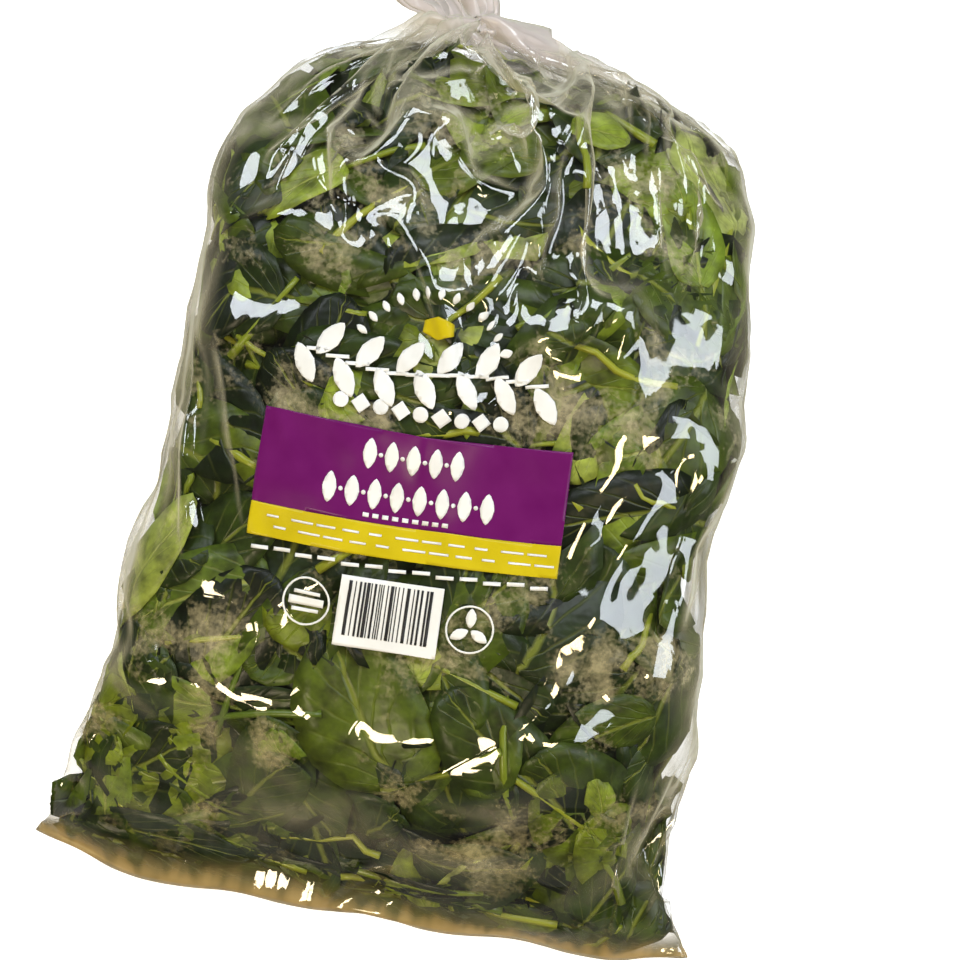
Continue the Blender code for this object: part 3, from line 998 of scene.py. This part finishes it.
def film_above_and_below(x, y):
    """The film's highest and lowest places over x and y, or None twice past its outline."""
    above = film_tree.ray_cast(Vector((x, y, HIGH_ABOVE)), Vector((0, 0, -1)))[0]
    below = film_tree.ray_cast(Vector((x, y, FAR_BELOW)), Vector((0, 0, 1)))[0]
    return above, below


LEAVES_FROM = SEAL_Y - 0.010
INWARD_SHARE, INWARD_STEP, INWARD_TRIES = 0.985, 0.0003, 60
OUTSIDE_REACH = 0.003


def press_inside(point, clearance):
    """The point, or a place inside the film near it: first under its top, then off its sides."""
    middle = np.interp(point.y, TABLE_Y, heap_columns[0])
    x, y = point.x, min(max(point.y, LEAVES_FROM), HEAP_TO)
    for _ in range(INWARD_TRIES):
        above, below = film_above_and_below(x, y)
        if above and below and above.z - below.z > 2.5 * clearance:
            break
        x = middle + (x - middle) * INWARD_SHARE
        y += INWARD_STEP if y < 0 else -INWARD_STEP
    point = Vector((x, y, min(max(point.z, below.z + clearance), above.z - clearance)))
    near, normal, _, _ = film_tree.find_nearest(point)
    if -clearance < (point - near).dot(normal) < OUTSIDE_REACH:
        point = near - normal * clearance
        point.z = max(point.z, clearance)
    return point


SIDE_GAP = 0.003
SIDE_GAP_FROM, SIDE_GAP_OVER = SEAL_Y + 0.05, 0.05


def in_heap(spot, depth, clearance):
    """A place this deep under the heap's skin, and a little deeper at the bag's sides."""
    near, normal, _, _ = skin_tree.find_nearest(spot)
    past_seal = min(max((near.y - SIDE_GAP_FROM) / SIDE_GAP_OVER, 0), 1)
    sideways = (1 - abs(normal.z)) * past_seal
    return press_inside(near - normal * (depth + SIDE_GAP * sideways), clearance)


FOLDS, FOLD_SHARES = (-0.25, 0.0, 0.25, 0.7), (0.3, 0.3, 0.25, 0.15)
STALK_POSTS, STALK_SIDES = 6, 6
STALK_GAP, STALK_DEPTH = 0.0024, 0.0010


def lay_leaf(draw, place, normal, turn, length, width, depth, steep, clearance):
    """One leaf's blade points, and its stalk's middle line, laid in the heap."""
    side = normal.cross(Vector((0.0, 0.9, 0.43))).normalized()
    ahead = (side * math.cos(turn) + normal.cross(side) * math.sin(turn)).normalized()
    across = normal.cross(ahead)
    tilt_along, tilt_across = draw.normal(0, steep, 2)
    fold = draw.choice(FOLDS, p=FOLD_SHARES)
    curl, bend = draw.uniform(-0.002, 0.005), draw.uniform(-6, 6)
    wave, phase = draw.uniform(0.0003, 0.0022), draw.uniform(0, 6)
    forward = blade_along * length
    out = blade_s * blade_reach * width / 2
    sideways = out + bend * forward**2
    sunk = depth + tilt_along * forward + tilt_across * out + fold * np.abs(out)
    sunk += curl * (2 * blade_t - 1) ** 2
    sunk += wave * np.abs(blade_s) * np.sin(9 * blade_t + phase + 2 * blade_s)
    blade = [
        in_heap(place + ahead * f + across * o, d, clearance)
        for f, o, d in zip(forward.tolist(), sideways.tolist(), sunk.tolist())
    ]
    stalk_length, stalk_bend = draw.uniform(0.45, 0.95) * length, draw.uniform(-7, 7)
    stalk = []
    for t in np.linspace(0, 1, STALK_POSTS).tolist():
        forward = -0.46 * length - t * stalk_length
        sideways = bend * (0.5 * length) ** 2 + stalk_bend * (t * stalk_length) ** 2
        sunk = depth + tilt_along * forward * 0.6 + curl + STALK_DEPTH
        stalk.append(in_heap(place + ahead * forward + across * sideways, sunk, STALK_GAP))
    return blade, stalk


def stalk_tube(line, thick):
    """Points of a stalk along its line, thicker at its cut end."""
    points = []
    for k, middle in enumerate(line):
        ahead = (line[min(k + 1, len(line) - 1)] - line[max(k - 1, 0)]).normalized()
        side = ahead.cross(Vector((0.1, 0.2, 1))).normalized()
        up = side.cross(ahead)
        radius = thick * (0.7 + 0.45 * k / (len(line) - 1))
        for turn in np.linspace(0, 2 * math.pi, STALK_SIDES, endpoint=False):
            points.append(middle + (side * math.cos(turn) + up * math.sin(turn)) * radius)
    return points


def leaf_places(count, draw):
    """Places on the heap's skin, evenly spread over its area."""
    corners = skin.reshape(-1, 3)
    a, b, c, d = (corners[skin_faces[:, k]] for k in (3, 2, 1, 0))
    area = np.linalg.norm(np.cross(c - a, d - b), axis=1)
    chosen = draw.choice(len(a), size=count, p=area / area.sum())
    u, v = draw.random((2, count, 1))
    near, far = a[chosen] * (1 - u) + b[chosen] * u, d[chosen] * (1 - u) + c[chosen] * u
    return near * (1 - v) + far * v


LEAF_THICKNESS = 0.00035
LEAF_GAP, CHOSEN_GAP = 0.0012, 0.0007
LONG_STALK_SHARE, STALK_RADII = 0.45, (0.0010, 0.0017)
TONE_SPREAD = 0.27
CHOSEN_DEPTH, CHOSEN_STEEP = -0.001, 0.03
PRESSINGS, PRESS_PAST = 3, 1.2


def keep_faces_inside(points, faces, gap):
    """Moves inwards the corners of every face whose middle isn't inside the film."""
    checked = np.arange(len(faces))
    for _ in range(PRESSINGS):
        outside = []
        for k, middle in zip(checked, points[faces[checked]].mean(axis=1).tolist()):
            middle = Vector(middle)
            moved = press_inside(middle, gap) - middle
            if moved.length > 1e-6:
                moved *= PRESS_PAST
                for corner in faces[k]:
                    points[corner] = press_inside(Vector(points[corner]) + moved, gap)
                outside.append(k)
        checked = np.array(outside, dtype=int)


def on_top(x, y):
    """The place on the heap's upper side at x along the bag's width and y from its seal."""
    over = Vector((x, SEAL_Y + y, HIGH_ABOVE))
    place, normal, _, _ = skin_tree.ray_cast(over, Vector((0, 0, -1)))
    return place, normal


CORNER_ROOM = 0.0015
CORNER_TRIES, CORNER_LOWEST, CORNER_HIGHEST = 20, 0.25, 0.8


def corner_leaf(x, y, heading, length, width, height):
    """A leaf near the seal, y from it, at a share of the way up from the film's underside."""
    ahead = np.array([math.cos(math.radians(heading)), math.sin(math.radians(heading))])
    spots = np.outer(blade_along * length, ahead)
    spots += np.outer(blade_s * blade_reach * width / 2, (-ahead[1], ahead[0]))
    points = []
    for spot, s, t in zip(spots + (x, SEAL_Y + y + seal_sag(x)), blade_s, blade_t):
        for _ in range(CORNER_TRIES):
            above, below = film_above_and_below(*spot)
            if above and below and above.z - below.z > CORNER_ROOM:
                break
            spot = spot * (0.99, 1) + (0, 0.0006)
        waved = height + 0.12 * math.sin(7 * t + 5 * x + 2 * s)
        share_up = min(max(waved, CORNER_LOWEST), CORNER_HIGHEST)
        points.append(below.lerp(above, share_up))
    return points


def copied_faces(faces, size, points):
    """A shape's faces, once for each time its size in points goes into these points."""
    return np.concatenate([faces + start for start in range(0, len(points), size)])


stalks, stalk_tones = [], []


def lay_leaves(name, layers, lengths, stout, material, seed, chosen, in_corners=()):
    """A piece of many leaves. Each layer is a count, a range of depths, a steepness and a tone;
    deeper layers get darker tones, which is painted shade.

    Chosen leaves lie just under the film: x, y, heading in degrees, length, width and tone.
    Those in the corners also have a height.
    """
    draw = np.random.default_rng(seed)
    blades, blade_tones, chosen_blades = [], [], []
    for count, shallow, deep, steep, tone in layers:
        for spot in leaf_places(count, draw):
            place, normal, _, _ = skin_tree.find_nearest(Vector(spot))
            length = draw.uniform(*lengths)
            width, depth = length * draw.uniform(*stout), draw.uniform(shallow, deep)
            turn = draw.uniform(0, 2 * math.pi)
            blade, stalk = lay_leaf(
                draw, place, normal, turn, length, width, depth, steep, LEAF_GAP
            )
            blades += blade
            blade_tones += [np.clip(draw.normal(tone, TONE_SPREAD), 0, 1)] * BLADE_SIZE
            if draw.random() < LONG_STALK_SHARE:
                stalks.append(stalk_tube(stalk, draw.uniform(*STALK_RADII)))
                stalk_tones.extend([draw.uniform(0, 1)] * len(stalks[-1]))
    for x, y, heading, length, width, tone in chosen:
        place, normal = on_top(x, y)
        turn = math.radians(heading) + math.pi
        at_top = (CHOSEN_DEPTH, CHOSEN_STEEP, CHOSEN_GAP)
        blade, _ = lay_leaf(draw, place, normal, turn, length, width, *at_top)
        chosen_blades += blade
        blade_tones += [tone] * BLADE_SIZE
    for x, y, heading, length, width, tone, height in in_corners:
        chosen_blades += corner_leaf(x, y, heading, length, width, height)
        blade_tones += [tone] * BLADE_SIZE
    groups = [np.array(blades), np.array(chosen_blades)]
    for points, gap in zip(groups, (LEAF_GAP, CHOSEN_GAP)):
        keep_faces_inside(points, copied_faces(blade_faces, BLADE_SIZE, points), gap)
    points = np.concatenate(groups)
    faces = copied_faces(blade_faces, BLADE_SIZE, points)
    piece = new_mesh_piece(name, points, faces, material)
    set_tones(piece, blade_tones)
    uv = piece.data.uv_layers.new(name="UVMap")
    corner = np.stack([blade_s / 2 + 0.5, blade_t], axis=1)
    uv.data.foreach_set("uv", corner[faces.ravel() % BLADE_SIZE].ravel())
    wall = piece.modifiers.new("thickness", "SOLIDIFY")
    wall.thickness, wall.offset = LEAF_THICKNESS, 0
    select_only(piece)
    bpy.ops.object.modifier_apply(modifier=wall.name)
    return piece


leaves = lay_leaves(
    "spinach_leaves",
    (
        # Deeper layers get darker tones: painted shade deep in the heap.
        (170, 0.007, 0.011, 0.12, 0.02),
        (230, 0.004, 0.009, 0.20, 0.28),
        (210, 0.0012, 0.005, 0.22, 0.54),
    ),
    (0.044, 0.070),
    (0.56, 0.76),
    dark_leaf,
    21,
    (
        (-0.006, 0.280, -8, 0.034, 0.019, 0.75),
        (0.038, 0.024, 8, 0.044, 0.027, 0.30),
        (-0.077, 0.010, 4, 0.066, 0.022, 0.15),
        (-0.030, 0.262, 60, 0.040, 0.028, 0.35),
        (0.092, 0.030, 70, 0.050, 0.032, 0.40),
    ),
    (
        (-0.096, 0.015, 0, 0.050, 0.026, 0.35, 0.6),
        (-0.104, 0.026, 60, 0.046, 0.026, 0.60, 0.5),
        (-0.110, 0.010, -8, 0.040, 0.020, 0.55, 0.5),
        (0.116, 0.010, 150, 0.034, 0.020, 0.60, 0.5),
        (-0.084, 0.011, -3, 0.056, 0.024, 0.15, 0.6),
        (-0.050, 0.012, 5, 0.060, 0.026, 0.25, 0.5),
        (-0.010, 0.012, 2, 0.056, 0.026, 0.20, 0.6),
        (0.025, 0.011, 8, 0.054, 0.026, 0.35, 0.5),
        (0.060, 0.013, 176, 0.054, 0.028, 0.30, 0.6),
        (0.098, 0.016, 15, 0.048, 0.028, 0.40, 0.6),
        (0.106, 0.032, 80, 0.050, 0.026, 0.55, 0.6),
        (0.104, 0.022, 130, 0.044, 0.026, 0.30, 0.4),
        (0.108, 0.050, 100, 0.044, 0.020, 0.50, 0.5),
    ),
)
young = lay_leaves(
    "young_leaves",
    ((40, 0.005, 0.010, 0.16, 0.45), (60, 0.0012, 0.005, 0.18, 0.45)),
    (0.034, 0.058),
    (0.42, 0.66),
    young_leaf,
    22,
    (
        (-0.001, 0.299, 18, 0.040, 0.012, 0.55),
        (0.028, 0.297, -20, 0.023, 0.015, 0.62),
        (0.068, 0.268, 96, 0.042, 0.024, 0.35),
        (-0.101, 0.108, 75, 0.062, 0.026, 0.80),
        (0.078, 0.060, 110, 0.018, 0.012, 0.60),
    ),
)
for piece, slot in ((leaves, "spinach_leaf"), (young, "young_leaf")):
    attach(piece, "root")

# ------------------------------------------------------------------------------------------
# The stalks: the juicy stem of each leaf, a few centimetres long, cut off square at its end.
# A few thick ones lie on top: x and y of both ends, radius and tone.
for x0, y0, x1, y1, radius, tone in (
    (0.083, 0.283, 0.077, 0.227, 0.0019, 0.75),
    (0.044, 0.063, 0.074, 0.049, 0.0017, 0.80),
    (-0.086, 0.158, -0.067, 0.152, 0.0019, 0.80),
    (-0.067, 0.221, -0.085, 0.189, 0.0015, 0.55),
    (0.010, 0.096, 0.041, 0.088, 0.0013, 0.60),
    (-0.028, 0.118, -0.020, 0.101, 0.0012, 0.85),
):
    line = []
    for t in np.linspace(0, 1, STALK_POSTS):
        place, normal = on_top(x0 + (x1 - x0) * t, y0 + (y1 - y0) * t)
        line.append(press_inside(place + normal * 0.001, radius * 1.15 + 0.0006))
    stalks.append(stalk_tube(line, radius))
    stalk_tones += [tone] * len(stalks[-1])
stalk_material = bpy.data.materials.new("leaf_stalk")
stalk_material.use_nodes = True
tree = stalk_material.node_tree
stalk_colour = tone_ramp(tree, ((0.08, 0.13, 0.01), (0.19, 0.24, 0.015), (0.34, 0.36, 0.03)))
finish_shader(tree, Base_Color=stalk_colour, Roughness=0.3)
# Each end is closed by two faces.
STALK_POINTS = STALK_POSTS * STALK_SIDES
first_end = np.array([[0, 1, 2, 3], [0, 3, 4, 5]])
last_end = first_end[:, ::-1] + STALK_POINTS - STALK_SIDES
stalk_faces = np.concatenate([tube_faces(STALK_POSTS, STALK_SIDES), first_end, last_end])
stalk_points = np.array(stalks).reshape(-1, 3)
stalk_piece = new_mesh_piece(
    "leaf_stalks",
    stalk_points,
    copied_faces(stalk_faces, STALK_POINTS, stalk_points),
    stalk_material,
)
set_tones(stalk_piece, stalk_tones)
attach(stalk_piece, "root")

# ------------------------------------------------------------------------------------------
# The leaves further in, which show only in the gaps between the others: one quilted mass under the
# rest, whose near-black colour is painted shade in those gaps.
CORE_DEPTH = 0.010
# Its near-black colours are painted shade.
core_shade_material = leaf_material(
    "inner_leaf_painted_shade", ((0.004, 0.008, 0.002), (0.008, 0.016, 0.003)), (0.02, 0.03, 0.008), 0.5
)
core_points = heap_skin(CORE_DEPTH)
core_points[[0, -1]] = core_points[[0, -1]].mean(axis=1, keepdims=True)
core = new_mesh_piece("inner_leaves", core_points.reshape(-1, 3), skin_faces, core_shade_material)
select_only(core)
bpy.ops.object.mode_set(mode="EDIT")
bpy.ops.mesh.select_all(action="SELECT")
bpy.ops.mesh.remove_doubles(threshold=0.00001)
bpy.ops.object.mode_set(mode="OBJECT")
set_tones(core, np.random.default_rng(3).random(len(core.data.vertices)))
core.data.uv_layers.new(name="UVMap")
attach(core, "root")

# ------------------------------------------------------------------------------------------
# The studio: a pale floor, a pale surround that is dark overhead, and soft lights.
deselect_all()
bpy.ops.mesh.primitive_plane_add(size=6, location=(0, 0, 0))
floor = bpy.context.object
floor.name = "floor"
floor_material = bpy.data.materials.new("floor")
floor_material.use_nodes = True
finish_shader(
    floor_material.node_tree,
    Base_Color=(0.9, 0.9, 0.9, 1),
    Roughness=0.9,
    Emission_Color=(1, 1, 1, 1),
    Emission_Strength=0.75,
)
floor.data.materials.append(floor_material)
floor.visible_glossy = False

world = bpy.data.worlds.new("studio")
bpy.context.scene.world = world
world.use_nodes = True
world.cycles.sampling_method = "NONE"
tree = world.node_tree
way_out = add_node(tree, "TexCoord").outputs["Generated"]
height = add_node(tree, "SeparateXYZ", Vector=way_out).outputs["Z"]
glow = mapped(tree, height, 0.10, 0.42, 0.20, 0.03)
set_inputs(tree, tree.nodes["Background"], {"Color": (1.0, 0.98, 0.93, 1), "Strength": glow})


def soft_box(name, place, size, power, colour, aim=(0, 0, 0.04)):
    """A rectangular lamp, in watts, turned towards the bag."""
    light = bpy.data.lights.new(name, "AREA")
    light.shape = "RECTANGLE"
    light.size, light.size_y = size
    light.energy = power
    light.color = colour
    lamp = bpy.data.objects.new(name, light)
    lamp.location = place
    lamp.rotation_euler = (Vector(aim) - Vector(place)).to_track_quat("-Z", "Y").to_euler()
    bpy.context.scene.collection.objects.link(lamp)


soft_box("top_window", (0.15, 0.72, 1.02), (0.80, 0.38), 8.4, (0.88, 0.94, 1.0))
soft_box("right_window", (1.02, 0.12, 0.74), (0.70, 0.38), 6.0, (0.86, 0.93, 1.0))
soft_box("left_window", (-0.80, 0.62, 0.80), (0.50, 0.40), 5.5, (0.88, 0.94, 1.0))
soft_box("lamp", (-0.36, -0.68, 1.0), (0.36, 0.30), 7, (1.0, 0.84, 0.56))
soft_box("side_lamp", (0.62, -0.30, 1.05), (0.16, 0.14), 1.8, (1.0, 0.80, 0.45))

# The camera looks straight down on the bag, turned a little, and sees this much at this height.
VIEW_ACROSS, VIEW_HEIGHT = 0.3552, 0.035
VIEW_X, VIEW_Y, VIEW_TURN = 0.0115, SEAL_Y + 0.164, math.radians(12)
LENS, SENSOR = 100, 36
scene = bpy.context.scene
camera = bpy.data.cameras.new("camera")
camera.lens, camera.sensor_width = LENS, SENSOR
camera_object = bpy.data.objects.new("camera", camera)
camera_object.location = (VIEW_X, VIEW_Y, VIEW_HEIGHT + VIEW_ACROSS * LENS / SENSOR)
camera_object.rotation_euler = (0, 0, VIEW_TURN)
scene.collection.objects.link(camera_object)
scene.camera = camera_object
scene.view_settings.view_transform = "Standard"
scene.cycles.transparent_max_bounces = 16
scene.cycles.max_bounces = 4
scene.cycles.diffuse_bounces = 1
scene.cycles.glossy_bounces = 2
scene.cycles.use_light_tree = False
scene.cycles.caustics_reflective = False
